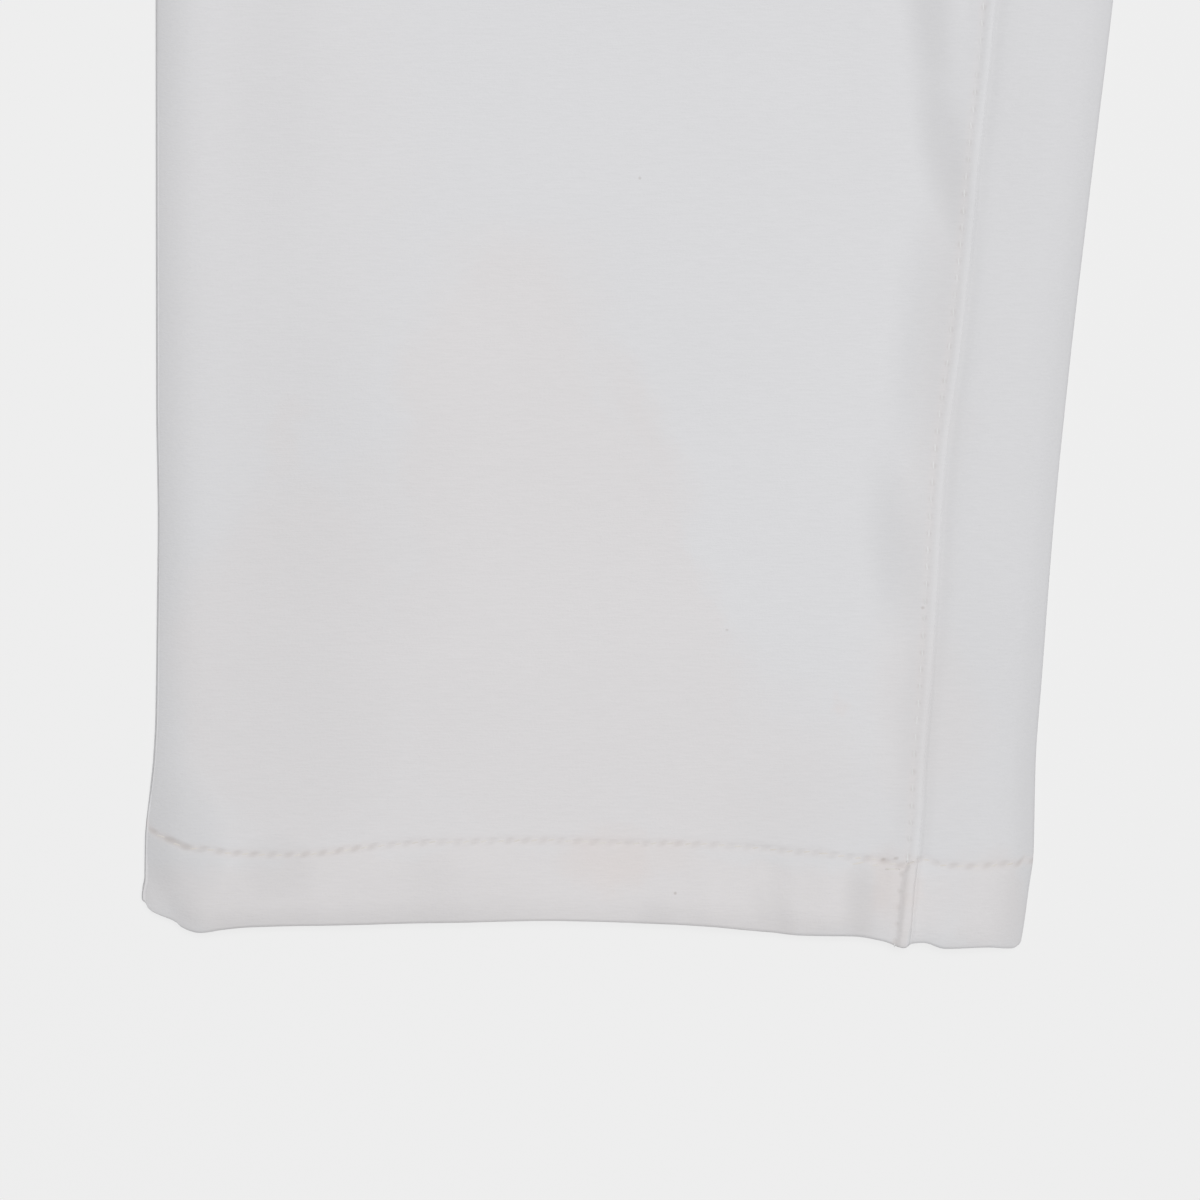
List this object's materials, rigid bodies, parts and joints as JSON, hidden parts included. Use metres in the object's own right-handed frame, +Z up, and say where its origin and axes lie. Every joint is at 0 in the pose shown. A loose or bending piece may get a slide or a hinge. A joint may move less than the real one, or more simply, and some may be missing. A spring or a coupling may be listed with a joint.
{
  "type": "hiking trousers",
  "caption": "Hiking trousers lying flat, front up: straight legs with turned-up stitched hems, inseams rolled on to the front, a lapped fly and a buttoned waistband.",
  "frame": {"origin": "on the surface that the trousers lie on, under the middle of their bounding box", "axes": "+X towards the wearer's left, which is a viewer's right, +Y from the hems towards the waist, +Z up out of the front"},
  "size_m": [0.5866, 1.0353, 0.0113],
  "materials": {
    "shell_cloth": "off-white stretch double weave, matt, fine crosswise grain, faint warm stains by the hem",
    "button_resin": "cast resin, satin",
    "sewing_thread": "spun polyester thread, matched to the cloth"
  },
  "bodies": {
    "root": {"front_right": "shell_cloth", "front_left": "shell_cloth", "back_right": "shell_cloth", "back_left": "shell_cloth", "waistband": "shell_cloth", "button": "button_resin"}
  },
  "joints": []
}
